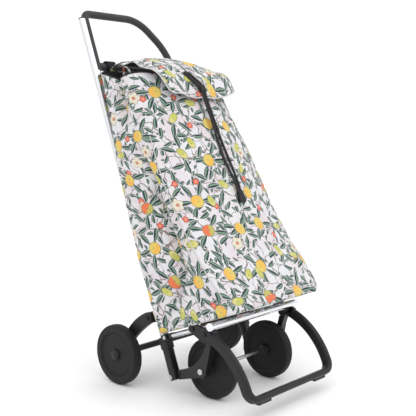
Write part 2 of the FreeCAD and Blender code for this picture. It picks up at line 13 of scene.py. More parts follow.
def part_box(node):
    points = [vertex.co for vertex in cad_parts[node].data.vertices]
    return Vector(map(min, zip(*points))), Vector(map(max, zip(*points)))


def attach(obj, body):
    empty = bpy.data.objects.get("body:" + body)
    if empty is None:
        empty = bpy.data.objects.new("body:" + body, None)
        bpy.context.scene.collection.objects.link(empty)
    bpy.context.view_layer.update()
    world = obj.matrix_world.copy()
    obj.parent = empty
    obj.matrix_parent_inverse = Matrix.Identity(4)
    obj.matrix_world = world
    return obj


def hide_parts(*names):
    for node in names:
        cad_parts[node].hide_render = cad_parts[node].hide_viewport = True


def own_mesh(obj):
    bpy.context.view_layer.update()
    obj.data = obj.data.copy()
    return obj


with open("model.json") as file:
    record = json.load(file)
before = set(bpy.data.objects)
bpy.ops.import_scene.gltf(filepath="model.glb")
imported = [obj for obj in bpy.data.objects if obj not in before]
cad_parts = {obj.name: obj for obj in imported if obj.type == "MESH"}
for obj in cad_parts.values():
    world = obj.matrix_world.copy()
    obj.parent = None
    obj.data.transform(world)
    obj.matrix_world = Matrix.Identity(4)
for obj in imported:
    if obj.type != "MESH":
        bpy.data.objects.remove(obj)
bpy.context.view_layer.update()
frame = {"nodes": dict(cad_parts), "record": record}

# ---- driving values; the axle places come from the frame ----
LEAN = math.radians(21)


def middle(node):
    """Centre of a CAD node's box."""
    low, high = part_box(node)
    return (low + high) / 2


FRONT_AXLE = middle("front_axle")
REAR_AXLE = middle("rear_axle")
LEAN_Y = FRONT_AXLE.y + 0.134
LEAN_Z = 0.148
BACK_T = 0.0105
CROSSBAR_S = 0.775
STITCH_PITCH, STITCH_LONG, STITCH_R = 0.0042, 0.0028, 0.0004
SEAM_R, MOUTH_HEM_R, FLAP_HEM_R = 0.0013, 0.0022, 0.0018


def lean(x, t, s):
    """Row-frame point of a place given in lean axes."""
    y = LEAN_Y + s * math.sin(LEAN) - t * math.cos(LEAN)
    z = LEAN_Z + s * math.cos(LEAN) + t * math.sin(LEAN)
    return Vector((x, y, z))


UP = lean(0, 0, 1) - lean(0, 0, 0)
FORWARD = lean(0, 1, 0) - lean(0, 0, 0)
ACROSS = Vector((1, 0, 0))


def smooth(q):
    """Eases 0 to 1."""
    q = min(max(q, 0.0), 1.0)
    return q * q * (3 - 2 * q)


def along(points, q):
    """Value at q, 0 to 1, on the smooth line through evenly counted points."""
    span = q * (len(points) - 1)
    i = min(int(span), len(points) - 2)
    f = span - i
    p0, p1 = Vector(points[max(i - 1, 0)]), Vector(points[i])
    p2, p3 = Vector(points[i + 1]), Vector(points[min(i + 2, len(points) - 1)])
    bend = (p2 - p0) * f + (2 * p0 - 5 * p1 + 4 * p2 - p3) * f ** 2 + (3 * p1 - p0 - 3 * p2 + p3) * f ** 3
    return p1 + bend * 0.5


# ---- shader helpers ----
class Shader:
    """Short ways to wire the nodes of one material."""

    def __init__(self, name, colour, roughness, metallic=0.0):
        self.material = bpy.data.materials.new(name)
        self.material.use_nodes = True
        self.tree = self.material.node_tree
        self.out = self.tree.nodes["Principled BSDF"]
        self.out.inputs["Base Color"].default_value = (*colour, 1)
        self.out.inputs["Roughness"].default_value = roughness
        self.out.inputs["Metallic"].default_value = metallic

    def add(self, kind, **settings):
        """New node with its settings."""
        node = self.tree.nodes.new(kind)
        for key, value in settings.items():
            setattr(node, key, value)
        return node

    def wire(self, source, socket):
        """Joins a socket, or sets a plain value."""
        if isinstance(source, bpy.types.NodeSocket):
            self.tree.links.new(source, socket)
        else:
            socket.default_value = source

    def maths(self, operation, *values):
        """Scalar maths."""
        node = self.add("ShaderNodeMath", operation=operation)
        for socket, value in zip(node.inputs, values):
            self.wire(value, socket)
        return node.outputs[0]

    def vector(self, operation, *values):
        """Vector maths with a vector result."""
        node = self.add("ShaderNodeVectorMath", operation=operation)
        for socket, value in zip(node.inputs, values):
            self.wire(value, socket)
        return node.outputs[0]

    def step(self, value, start, end):
        """Eases from 0 at start to 1 at end."""
        node = self.add("ShaderNodeMapRange", interpolation_type="SMOOTHSTEP")
        for socket, item in zip(node.inputs, (value, start, end)):
            self.wire(item, socket)
        return node.outputs[0]

    def mix(self, factor, low, high):
        """Colour between low and high."""
        node = self.add("ShaderNodeMix", data_type="RGBA")
        self.wire(factor, node.inputs[0])
        self.wire((*low, 1) if isinstance(low, tuple) else low, node.inputs[6])
        self.wire((*high, 1) if isinstance(high, tuple) else high, node.inputs[7])
        return node.outputs[2]

    def split(self, source):
        """The three parts of a vector."""
        node = self.add("ShaderNodeSeparateXYZ")
        self.wire(source, node.inputs[0])
        return node.outputs

    def noise(self, scale, detail=2.0, place=None):
        """Noise value at a scale per metre."""
        node = self.add("ShaderNodeTexNoise")
        node.inputs["Scale"].default_value = scale
        node.inputs["Detail"].default_value = detail
        self.wire(place or self.add("ShaderNodeTexCoord").outputs["Object"], node.inputs["Vector"])
        return node.outputs[0]

    def bump(self, height, strength, distance):
        """Presses a height pattern into the surface."""
        node = self.add("ShaderNodeBump")
        node.inputs["Strength"].default_value = strength
        node.inputs["Distance"].default_value = distance
        self.wire(height, node.inputs["Height"])
        self.wire(node.outputs[0], self.out.inputs["Normal"])

    def rough(self, pattern, low, high):
        """Roughness that follows a pattern."""
        node = self.add("ShaderNodeMapRange")
        self.wire(pattern, node.inputs[0])
        node.inputs[3].default_value = low
        node.inputs[4].default_value = high
        self.wire(node.outputs[0], self.out.inputs["Roughness"])


def grained(name, colour, roughness, grain, depth, metallic=0.0, shine=0.3):
    """Plastic, foam or paint with a fine grain and slightly uneven gloss."""
    shader = Shader(name, colour, roughness, metallic)
    shader.out.inputs["Specular IOR Level"].default_value = shine
    pattern = shader.noise(grain, 3.0)
    shader.bump(pattern, 0.35, depth)
    shader.rough(shader.noise(18.0), roughness - 0.05, roughness + 0.05)
    return shader.material


def brushed(name, colour, roughness):
    """Drawn metal: faint streaks along the upright's length."""
    shader = Shader(name, colour, roughness, metallic=1.0)
    turn = shader.add("ShaderNodeMapping")
    turn.inputs["Rotation"].default_value = (LEAN, 0, 0)
    turn.inputs["Scale"].default_value = (1, 1, 0.02)
    shader.wire(shader.add("ShaderNodeTexCoord").outputs["Object"], turn.inputs[0])
    streaks = shader.noise(900.0, 2.0, turn.outputs[0])
    shader.rough(streaks, roughness - 0.06, roughness + 0.06)
    shader.bump(streaks, 0.08, 0.0002)
    return shader.material


# ---- printed cloth ----
def scattered(shader, place, spacing, jitter, shift):
    """Places motifs at random: a turned local position, and three random numbers."""
    moved = shader.vector("ADD", place, (shift, 0.7 * shift, 0))
    cells = shader.add("ShaderNodeTexVoronoi", voronoi_dimensions="2D")
    cells.inputs["Scale"].default_value = 1 / spacing
    cells.inputs["Randomness"].default_value = jitter
    shader.wire(moved, cells.inputs["Vector"])
    local = shader.vector("SUBTRACT", moved, cells.outputs["Position"])
    chance = shader.split(cells.outputs["Color"])
    turn = shader.add("ShaderNodeVectorRotate", rotation_type="Z_AXIS")
    shader.wire(local, turn.inputs["Vector"])
    shader.wire(shader.maths("MULTIPLY", chance[0], math.tau), turn.inputs["Angle"])
    x, y, _ = shader.split(turn.outputs[0])
    return x, y, chance


def around(shader, x, y, count):
    """Folds a position so that one petal or leaf becomes a ring of count."""
    angle = shader.maths("ARCTAN2", y, x)
    squares = shader.maths("ADD", shader.maths("POWER", x, 2), shader.maths("POWER", y, 2))
    reach = shader.maths("SQRT", squares)
    part = math.tau / count
    folded = shader.maths("SUBTRACT", shader.maths("FLOORED_MODULO", angle, part), part / 2)
    return (shader.maths("MULTIPLY", reach, shader.maths("COSINE", folded)),
            shader.maths("MULTIPLY", reach, shader.maths("SINE", folded)), reach)


def leaf(shader, x, y, start, length, half, bend):
    """Masks of one leaf along x: its gap of bare cloth, its blade and its pale half."""
    q = shader.maths("DIVIDE", shader.maths("SUBTRACT", x, start), length)
    arch = shader.maths("MULTIPLY", shader.maths("MULTIPLY", q, shader.maths("SUBTRACT", 1, q)), 4)
    wide = shader.maths("MULTIPLY", shader.maths("POWER", shader.maths("MAXIMUM", arch, 0), 0.8), half)
    ripple = shader.maths("MULTIPLY", shader.maths("SINE", shader.maths("MULTIPLY", q, 22)), 0.0003)
    off = shader.maths("ADD", shader.maths("SUBTRACT", y, shader.maths("MULTIPLY", arch, bend)), ripple)
    inside = shader.maths("SUBTRACT", wide, shader.maths("ABSOLUTE", off))
    halo = shader.step(inside, -0.0013, -0.0007)
    blade = shader.step(inside, 0.0, 0.0006)
    vein = shader.maths("ABSOLUTE", shader.maths("SUBTRACT", off, shader.maths("MULTIPLY", wide, 0.25)))
    pale = shader.step(shader.maths("SUBTRACT", shader.maths("MULTIPLY", wide, 0.40), vein), 0.0, 0.0006)
    return halo, blade, pale


def oval(shader, x, y, long, wide):
    """Distance inside an oval, in metres, negative outside."""
    a = shader.maths("POWER", shader.maths("DIVIDE", x, long), 2)
    b = shader.maths("POWER", shader.maths("DIVIDE", y, wide), 2)
    reach = shader.maths("SQRT", shader.maths("ADD", a, b))
    return shader.maths("MULTIPLY", shader.maths("SUBTRACT", 1, reach), min(long, wide))


DARK_LEAF = (0.010, 0.034, 0.036)
PALE_LEAF = (0.17, 0.27, 0.19)
INK = (0.060, 0.052, 0.050)


def print_leaves(shader, colour, cells, count, start, length, half, keep):
    """Adds a ring of leaves round each cell; keep is the share of cells that have it."""
    x, y, chance = cells
    fx, fy, _ = around(shader, x, y, count)
    halo, blade, pale = leaf(shader, fx, fy, start, length, half, 0.0024)
    sector = shader.maths("FLOOR", shader.maths("DIVIDE", shader.maths("ARCTAN2", y, x), math.tau / count))
    sector_lot = shader.maths("MULTIPLY", sector, 2.3)
    lot = shader.maths("ADD", sector_lot, shader.maths("MULTIPLY", chance[0], 40.0))
    grown = shader.maths("GREATER_THAN", shader.maths("SINE", lot), -0.62)
    there = shader.maths("MULTIPLY", shader.maths("LESS_THAN", chance[2], keep), grown)
    colour = shader.mix(shader.maths("MULTIPLY", halo, there), colour, (0.65, 0.615, 0.645))
    colour = shader.mix(shader.maths("MULTIPLY", blade, there), colour, DARK_LEAF)
    return shader.mix(shader.maths("MULTIPLY", pale, there), colour, PALE_LEAF)


def print_fruit(shader, colour, cells, low, high, size, skin, blush, split_at):
    """Adds an outlined fruit to the cells whose chance lies between low and high."""
    x, y, chance = cells
    depth = oval(shader, x, y, *size)
    picked = shader.maths("MULTIPLY", shader.maths("GREATER_THAN", chance[1], low),
                          shader.maths("LESS_THAN", chance[1], high))
    outline = shader.maths("MULTIPLY", shader.step(depth, -0.0006, 0.0), picked)
    body = shader.maths("MULTIPLY", shader.step(depth, 0.0005, 0.0011), picked)
    tone = shader.mix(shader.step(shader.maths("ADD", x, shader.maths("MULTIPLY", y, 0.5)),
                                  split_at, split_at + 0.006), skin, blush)
    dot = oval(shader, shader.maths("SUBTRACT", x, 0.003), y, 0.0013, 0.0013)
    tone = shader.mix(shader.step(dot, -0.0004, 0.0004), tone, INK)
    colour = shader.mix(outline, colour, (0.16, 0.15, 0.07))
    return shader.mix(body, colour, tone)


def print_flower(shader, colour, cells, keep, radius, petals, petal, heart):
    """Adds a small flower to a share of the cells."""
    x, y, chance = cells
    fx, fy, reach = around(shader, x, y, petals)
    depth = oval(shader, shader.maths("SUBTRACT", fx, radius * 0.55), fy, radius * 0.5, radius * 0.42)
    there = shader.maths("LESS_THAN", chance[1], keep)
    outline = shader.maths("MULTIPLY", shader.step(depth, -0.0009, -0.0003), there)
    body = shader.maths("MULTIPLY", shader.step(depth, 0.0, 0.0006), there)
    centre = shader.maths("MULTIPLY", shader.step(reach, radius * 0.34, radius * 0.26), there)
    colour = shader.mix(outline, colour, (0.20, 0.12, 0.09))
    colour = shader.mix(body, colour, petal)
    return shader.mix(centre, colour, heart)


def printed_cloth():
    """Off-white plain weave printed with leaves, stems, fruit and small flowers."""
    shader = Shader("bag_fabric", (0.8, 0.8, 0.8), 0.82)
    place = shader.add("ShaderNodeUVMap", uv_map="panel").outputs[0]
    warp = shader.add("ShaderNodeTexNoise")
    warp.inputs["Scale"].default_value = 26.0
    shader.wire(place, warp.inputs["Vector"])
    drift = shader.add("ShaderNodeVectorMath", operation="SCALE")
    shader.wire(shader.vector("SUBTRACT", warp.outputs["Color"], (0.5, 0.5, 0.5)), drift.inputs[0])
    drift.inputs["Scale"].default_value = 0.036
    bent = shader.vector("ADD", place, drift.outputs[0])

    ground = shader.step(shader.noise(16.0, 2.0, place), 0.45, 0.62)
    colour = shader.mix(ground, (0.66, 0.655, 0.68), (0.64, 0.575, 0.61))

    for spacing, shift, thick in ((0.088, 0.31, 0.0011), (0.062, 0.83, 0.0007)):
        stems = shader.add("ShaderNodeTexVoronoi", voronoi_dimensions="2D", feature="DISTANCE_TO_EDGE")
        stems.inputs["Scale"].default_value = 1 / spacing
        shader.wire(shader.vector("ADD", bent, (shift, shift, 0)), stems.inputs["Vector"])
        edge = shader.maths("MULTIPLY", stems.outputs["Distance"], spacing)
        colour = shader.mix(shader.step(edge, thick + 0.0005, thick), colour, (0.22, 0.18, 0.16))

    tiny = scattered(shader, place, 0.040, 0.5, 6.2)
    colour = print_leaves(shader, colour, tiny, 2, 0.002, 0.021, 0.0040, 0.85)
    small = scattered(shader, place, 0.053, 0.55, 1.7)
    colour = print_leaves(shader, colour, small, 3, 0.003, 0.030, 0.0050, 0.9)
    middling = scattered(shader, place, 0.076, 0.5, 0.4)
    colour = print_leaves(shader, colour, middling, 4, 0.004, 0.042, 0.0062, 0.95)
    large = scattered(shader, place, 0.102, 0.45, 0.0)
    colour = print_leaves(shader, colour, large, 6, 0.015, 0.046, 0.0068, 1.0)

    buds = scattered(shader, place, 0.082, 0.8, 2.9)
    colour = print_flower(shader, colour, buds, 0.42, 0.0090, 5, (0.68, 0.12, 0.08), (0.66, 0.42, 0.24))
    blossoms = scattered(shader, place, 0.150, 0.8, 4.1)
    colour = print_flower(shader, colour, blossoms, 0.7, 0.0170, 5, (0.66, 0.62, 0.50), (0.52, 0.20, 0.12))
    lemons = scattered(shader, place, 0.094, 0.8, 5.3)
    colour = print_fruit(shader, colour, lemons, 0.55, 1.01, (0.0165, 0.0100),
                         (0.50, 0.50, 0.11), (0.60, 0.56, 0.20), 0.0)
    colour = print_fruit(shader, colour, large, -0.01, 0.50, (0.0182, 0.0174),
                         (0.74, 0.43, 0.075), (0.66, 0.50, 0.11), -0.004)
    colour = print_fruit(shader, colour, large, 0.50, 0.72, (0.0180, 0.0158),
                         (0.70, 0.16, 0.065), (0.46, 0.42, 0.10), 0.0)
    colour = print_fruit(shader, colour, large, 0.72, 1.01, (0.0180, 0.0105),
                         (0.48, 0.50, 0.11), (0.60, 0.55, 0.20), 0.0)
    shader.wire(colour, shader.out.inputs["Base Color"])
    shader.out.inputs["Sheen Weight"].default_value = 0.15
    shader.bump(weave(shader, place), 0.25, 0.0003)
    return shader.material


def weave(shader, place):
    """Plain weave, two threads a millimetre."""
    x, y, _ = shader.split(place)
    rate = math.pi / 0.0009
    across = shader.maths("SINE", shader.maths("MULTIPLY", x, rate))
    up = shader.maths("SINE", shader.maths("MULTIPLY", y, rate))
    return shader.maths("MULTIPLY", across, up)


def braided_cord():
    """Black braided cord."""
    shader = Shader("cord", (0.009, 0.009, 0.010), 0.62)
    wave = shader.add("ShaderNodeTexWave", bands_direction="DIAGONAL")
    wave.inputs["Scale"].default_value = 190.0
    wave.inputs["Distortion"].default_value = 1.5
    shader.wire(shader.add("ShaderNodeTexCoord").outputs["Object"], wave.inputs["Vector"])
    shader.bump(wave.outputs["Fac"], 0.7, 0.0006)
    return shader.material


FINISH = {
    "satin_aluminium": brushed("satin_aluminium", (0.70, 0.71, 0.73), 0.30),
    "bright_aluminium": brushed("bright_aluminium", (0.80, 0.81, 0.83), 0.14),
    "black_plastic": grained("black_plastic", (0.011, 0.011, 0.012), 0.34, 1500.0, 0.0002, shine=0.38),
    "grip_plastic": grained("grip_plastic", (0.030, 0.031, 0.034), 0.46, 1800.0, 0.0002),
    "black_frame": grained("black_frame", (0.013, 0.013, 0.015), 0.40, 1400.0, 0.0002),
    "wheel_foam": grained("wheel_foam", (0.015, 0.015, 0.017), 0.62, 1000.0, 0.0003, shine=0.22),
    "hub_plastic": grained("hub_plastic", (0.010, 0.010, 0.011), 0.45, 1500.0, 0.0002),
    "steel": grained("steel", (0.55, 0.56, 0.58), 0.28, 900.0, 0.0001, metallic=1.0, shine=0.5),
    "base_board": grained("base_board", (0.05, 0.05, 0.052), 0.7, 600.0, 0.0003),
    "cord_fitting": grained("cord_fitting", (0.011, 0.011, 0.012), 0.42, 1400.0, 0.0002),
    "bag_fabric": printed_cloth(),
    "cord": braided_cord(),
}
LINING = grained("lining", (0.012, 0.012, 0.014), 0.85, 1100.0, 0.0003)
THREAD = grained("thread", (0.55, 0.54, 0.53), 0.8, 2500.0, 0.0001)


# bolts and nuts that are blackened
DARK_NUTS = ("loop_bolts", "rear_pivot_nut_left", "rear_pivot_nut_right")


def paint_frame():
    """Gives every CAD node the finish of its slot in the record, or black for some bolts."""
    for row in frame["record"]["subparts"]:
        node = frame["nodes"][row["node"]]
        node.data.materials.clear()
        slot = "hub_plastic" if row["node"] in DARK_NUTS else row["material_slot"]
        node.data.materials.append(FINISH[slot])


# ---- mesh helpers ----
def place(piece, body, slot, material):
    """Puts a finished piece on its body with its material; slot is not used."""
    piece.data.materials.append(material)
    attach(piece, body)
    return piece


def mesh_piece(name, points, faces):
    """Object from points and faces, smooth shaded."""
    mesh = bpy.data.meshes.new(name)
    mesh.from_pydata([tuple(p) for p in points], [], faces)
    mesh.validate()
    mesh.shade_smooth()
    piece = bpy.data.objects.new(name, mesh)
    bpy.context.scene.collection.objects.link(piece)
    return piece


def grid_piece(name, rows, panel=None):
    """Open sheet through rows of points; panel gives each point's place on the cloth."""
    wide = len(rows[0])
    faces = []
    for r in range(len(rows) - 1):
        for c in range(wide - 1):
            a = r * wide + c
            faces.append((a, a + wide, a + wide + 1, a + 1))
    piece = mesh_piece(name, [p for row in rows for p in row], faces)
    if panel:
        flat = [p for row in panel for p in row]
        layer = piece.data.uv_layers.new(name="panel")
        for loop in piece.data.loops:
            layer.data[loop.index].uv = flat[loop.vertex_index]
    return piece


def thicken(piece, depth, inside=None):
    """Cloth thickness; inside is the material of the inner face."""
    if inside:
        piece.data.materials.append(inside)
    shell = piece.modifiers.new("thickness", "SOLIDIFY")
    shell.thickness = depth
    shell.offset = -1
    shell.material_offset = 1 if inside else 0


def tube_piece(name, points, radius, closed=False):
    """Round tube along a smooth line through points."""
    curve = bpy.data.curves.new(name, "CURVE")
    curve.dimensions = "3D"
    curve.bevel_depth = radius
    curve.bevel_resolution = 3
    curve.use_fill_caps = not closed
    line = curve.splines.new("POLY")
    line.points.add(len(points) - 1)
    for spot, point in zip(line.points, points):
        spot.co = (*point, 1)
    line.use_cyclic_u = closed
    line.use_smooth = True
    piece = bpy.data.objects.new(name, curve)
    bpy.context.scene.collection.objects.link(piece)
    return piece


def as_mesh(curve_piece):
    """Plain mesh in the place of a curve."""
    graph = bpy.context.evaluated_depsgraph_get()
    mesh = bpy.data.meshes.new_from_object(curve_piece.evaluated_get(graph))
    name = curve_piece.name
    bpy.data.objects.remove(curve_piece)
    piece = bpy.data.objects.new(name, mesh)
    bpy.context.scene.collection.objects.link(piece)
    return piece


def stitch_row(name, points):
    """Row of short thread stitches along a line of points."""
    spots, faces = [], []
    travelled, due = 0.0, STITCH_PITCH
    for a, b in zip(points, points[1:]):
        step = (b - a).length
        while step > 1e-6 and due <= travelled + step:
            centre = a.lerp(b, (due - travelled) / step)
            direction = (b - a).normalized()
            side = direction.orthogonal().normalized()
            other = direction.cross(side)
            base = len(spots)
            for end, shrink in ((-0.5, 0.3), (-0.35, 1.0), (0.35, 1.0), (0.5, 0.3)):
                for k in range(6):
                    turn = math.tau * k / 6
                    reach = side * math.cos(turn) + other * math.sin(turn)
                    spots.append(centre + direction * (STITCH_LONG * end) + reach * (STITCH_R * shrink))
            for ring in range(3):
                for k in range(6):
                    n = (k + 1) % 6
                    low, high = base + ring * 6, base + ring * 6 + 6
                    faces.append((low + k, low + n, high + n, high + k))
            faces.append(tuple(base + k for k in range(5, -1, -1)))
            faces.append(tuple(base + 18 + k for k in range(6)))
            due += STITCH_PITCH
        travelled += step
    return mesh_piece(name, spots, faces)


# ---- bag ----
# height, half width, front corner t, bow, corner softness, gusset tuck, crease t
BAG_RIBS = (
    (0.008, 0.177, 0.280, 0.003, 0.00, 0.000, 0.030),
    (0.018, 0.181, 0.285, 0.004, 0.00, 0.002, 0.045),
    (0.036, 0.184, 0.280, 0.006, 0.00, 0.004, 0.060),
    (0.075, 0.189, 0.262, 0.012, 0.04, 0.012, 0.090),
    (0.130, 0.194, 0.243, 0.017, 0.06, 0.020, 0.146),
    (0.190, 0.196, 0.225, 0.025, 0.07, 0.027, 0.148),
    (0.300, 0.195, 0.193, 0.038, 0.09, 0.030, 0.141),
    (0.394, 0.193, 0.177, 0.045, 0.12, 0.022, 0.140),
    (0.450, 0.190, 0.170, 0.049, 0.18, 0.009, 0.130),
    (0.510, 0.184, 0.162, 0.052, 0.26, 0.002, 0.120),
    (0.640, 0.169, 0.147, 0.046, 0.40, 0.000, 0.100),
    (0.790, 0.152, 0.118, 0.036, 0.45, 0.000, 0.090),
)
BACK_COUNT, REAR_COUNT, FRONT_COUNT, PANEL_COUNT, BAG_ROWS = 12, 14, 12, 20, 84
MOUTH_BACK, MOUTH_FRONT = (0.012, 0.757), (0.250, 0.634)


def rib_at(s):
    """Rib values at a height, eased between the listed ribs."""
    for low, high in zip(BAG_RIBS, BAG_RIBS[1:]):
        if s <= high[0]:
            break
    q = (s - low[0]) / (high[0] - low[0])
    i, last = BAG_RIBS.index(low), len(BAG_RIBS) - 1
    before, after = BAG_RIBS[max(i - 1, 0)], BAG_RIBS[min(i + 2, last)]
    result = []
    for k in range(1, 7):
        rise = high[0] - low[0]
        m0 = (high[k] - before[k]) / (high[0] - before[0]) * rise
        m1 = (after[k] - low[k]) / (after[0] - low[0]) * rise
        a, b = 2 * q ** 3 - 3 * q ** 2 + 1, q ** 3 - 2 * q ** 2 + q
        c, d = -2 * q ** 3 + 3 * q ** 2, q ** 3 - q ** 2
        result.append(a * low[k] + b * m0 + c * high[k] + d * m1)
    return result


def half_outline(s):
    """Right half of the bag's outline at a height, back middle to front middle, as (x, t)."""
    half, front, bow, soft, tuck, crease = rib_at(s)
    tuck = max(tuck, 0.0)
    spots = [(half * k / BACK_COUNT, BACK_T) for k in range(BACK_COUNT)]
    for k in range(REAR_COUNT):
        q = k / REAR_COUNT
        belly = 0.005 * math.sin(math.pi * q)
        spots.append((half + belly - tuck * q ** 4, BACK_T + (crease - BACK_T) * q))
    lip = 0.012 * smooth(tuck / 0.02)
    for k in range(FRONT_COUNT):
        q = k / FRONT_COUNT
        spots.append((half - (tuck + lip) * (1 - q) ** 3, crease + (front - crease) * q))
    for k in range(PANEL_COUNT + 1):
        x = half * (1 - k / PANEL_COUNT)
        spots.append((x, front + bow * (1 - (x / half) ** 2)))
    return soften(spots, soft)


def soften(spots, soft):
    """Rounds the outline's corners, but keeps its gusset crease."""
    keep = BACK_COUNT + REAR_COUNT
    rounds = 1 + int(soft * 26)
    for _ in range(rounds):
        moved = list(spots)
        for i in range(1, len(spots) - 1):
            if abs(i - keep) <= 1 and soft < 0.4:
                continue
            ahead, behind = spots[i + 1], spots[i - 1]
            moved[i] = tuple(0.5 * v + 0.25 * (a + b) for v, a, b in zip(spots[i], ahead, behind))
        spots = moved
    return spots


def folds(x, t, s, side):
    """How far the cloth stands out at a place, from gathers, drag lines and sag."""
    near_post = math.exp(-((t - 0.035) / 0.05) ** 2)
    gathers = 0.0045 * smooth((s - 0.42) / 0.25) * near_post * math.sin(math.tau * t / 0.038 + 2.0 * side)
    valley = 0.062 + 0.12 * (0.757 - s)
    hollow = math.exp(-((t - valley) / 0.020) ** 2) - 0.3 * math.exp(-((t - valley - 0.045) / 0.022) ** 2)
    gathers -= 0.034 * hollow * smooth((s - 0.48) / 0.24) * smooth((abs(x) - 0.08) / 0.05)
    drag = 0.0030 * math.sin((x * 0.6 + s + 0.4 * t) * 38.0 + 3.0 * side) * smooth((0.30 - s) / 0.25)
    broad = 0.0050 * noise.noise(Vector((x * 7, t * 7 + side, s * 5)))
    fine = 0.0022 * noise.noise(Vector((x * 19 + 4, t * 19, s * 15)))
    return gathers + drag + broad + fine


def bag_rows():
    """Rows of points round the bag from floor to mouth, and each point's place on the cloth."""
    slope = (MOUTH_BACK[1] - MOUTH_FRONT[1]) / (MOUTH_FRONT[0] - MOUTH_BACK[0])
    rim = []
    for _, t in half_outline(0.70):
        rise = 0.010 * math.exp(-((t - 0.155) / 0.026) ** 2) - 0.020 * math.exp(-((t - 0.075) / 0.045) ** 2)
        rim.append(MOUTH_BACK[1] - slope * (t - MOUTH_BACK[0]) + rise)
    low = BAG_RIBS[0][0]
    halves = {}
    rows, panel = [], []
    for r in range(BAG_ROWS + 1):
        q = r / BAG_ROWS
        strip = []
        for i, top in enumerate(rim):
            s = low + (top - low) * q
            key = round(s, 5)
            if key not in halves:
                halves[key] = half_outline(s)
            x, t = halves[key][i]
            ahead = halves[key][min(i + 1, len(rim) - 1)]
            behind = halves[key][max(i - 1, 0)]
            out = Vector((ahead[1] - behind[1], behind[0] - ahead[0]))
            out = out.normalized() if out.length > 1e-9 else Vector((0, 1))
            strip.append((x, t, s, out))
        loop, reach = [], [0.0]
        for side, part in ((1, strip), (-1, strip[-2::-1])):
            for x, t, s, out in part:
                hold = smooth((t - BACK_T) / 0.02) * smooth((s - low) / 0.03)
                push = folds(side * x, t, s, side) * hold
                loop.append((side * (x + out.x * push), t + out.y * push, s))
        for a, b in zip(loop, loop[1:]):
            reach.append(reach[-1] + math.hypot(b[0] - a[0], b[1] - a[1]))
        centre = reach[len(strip) - 1]
        rows.append([lean(*spot) for spot in loop])
        panel.append([(u - centre, spot[2]) for u, spot in zip(reach, loop)])
    return rows, panel


def relax_cloth(piece, pins, frames, grow, stiffness):
    """Lets cloth settle by simulation from its modelled shape, and keeps the result."""
    group = piece.vertex_groups.new(name="pins")
    for index, weight in enumerate(pins):
        group.add([index], weight, "REPLACE")
    cloth = piece.modifiers.new("cloth", "CLOTH")
    cloth.settings.vertex_group_mass = "pins"
    cloth.settings.quality = 6
    cloth.settings.mass = 0.15
    cloth.settings.tension_stiffness = stiffness
    cloth.settings.compression_stiffness = stiffness
    cloth.settings.shear_stiffness = stiffness / 3
    cloth.settings.bending_stiffness = 0.4
    cloth.settings.shrink_min = -grow
    cloth.settings.pin_stiffness = 0.8
    cloth.settings.effector_weights.gravity = 0.25
    cloth.point_cache.frame_start = 1
    cloth.point_cache.frame_end = frames
    for number in range(1, frames + 1):
        bpy.context.scene.frame_set(number)
    settled = piece.evaluated_get(bpy.context.evaluated_depsgraph_get())
    spots = [vertex.co.copy() for vertex in settled.data.vertices]
    piece.modifiers.remove(cloth)
    piece.vertex_groups.remove(group)
    for vertex, spot in zip(piece.data.vertices, spots):
        vertex.co = spot
    bpy.context.scene.frame_set(1)


def outward(rows, r, c):
    """Outward direction of the bag at a grid place."""
    up = rows[min(r + 1, len(rows) - 1)][c] - rows[max(r - 1, 0)][c]
    side = rows[r][min(c + 1, len(rows[0]) - 1)] - rows[r][max(c - 1, 0)]
    return up.cross(side).normalized()


def bag():
    """Cloth body with its floor, seams, hem and stitching."""
    rows, panel = bag_rows()
    body = grid_piece("bag_body", rows, panel)
    wide = len(rows[0])
    pins = []
    for r, row in enumerate(panel):
        for c in range(wide):
            back = min(c, wide - 1 - c) <= BACK_COUNT
            edge = r < 4 or r > BAG_ROWS - 3
            pins.append(1.0 if back or edge else 0.45)
    relax_cloth(body, pins, 14, 0.014, 22.0)
    spots = [vertex.co.copy() for vertex in body.data.vertices]
    rows = [spots[r * wide:(r + 1) * wide] for r in range(BAG_ROWS + 1)]
    place(body, "frame", "bag_fabric", FINISH["bag_fabric"])
    thicken(body, 0.0014, LINING)
    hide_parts("bag_shell")
    parts = [body, bag_floor(rows[0])]

    crease = BACK_COUNT + REAR_COUNT
    corner = crease + FRONT_COUNT
    for name, c in (("right", corner), ("left", wide - 1 - corner)):
        seam = [rows[r][c] + outward(rows, r, c) * 0.0008 for r in range(2, 62)]
        piping = as_mesh(tube_piece("bag_seam_" + name, seam, SEAM_R))
        parts.append(place(piping, "frame", "bag_fabric", THREAD))
        beside = c + (2 if c < wide / 2 else -2)
        row = [rows[r][beside] + outward(rows, r, beside) * 0.0005 for r in range(2, 62)]
        stitches = stitch_row("bag_stitch_" + name, row)
        parts.append(place(stitches, "frame", "bag_fabric", THREAD))
    hem = as_mesh(tube_piece("bag_mouth_hem", rows[BAG_ROWS], MOUTH_HEM_R))
    parts.append(place(hem, "frame", "bag_fabric", LINING))
    low = [rows[3][c] + outward(rows, 3, c) * 0.0005 for c in range(wide)]
    stitches = stitch_row("bag_floor_stitch", low)
    parts.append(place(stitches, "frame", "bag_fabric", THREAD))
    for part in parts:
        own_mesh(part)


def bag_floor(rim):
    """Printed cloth floor under the bag."""
    centre = sum(rim, Vector()) / len(rim)
    rings = []
    for q in (0.995, 0.7, 0.3, 0.04, 0):
        sag = UP * 0.0015 * smooth(q * 3)
        rings.append([p.lerp(centre, q) - sag for p in rim])
    panel = [[(p.x, (p - centre).dot(FORWARD) + 2.0) for p in ring] for ring in rings]
    return place(grid_piece("bag_floor", rings, panel), "frame", "bag_fabric", FINISH["bag_fabric"])


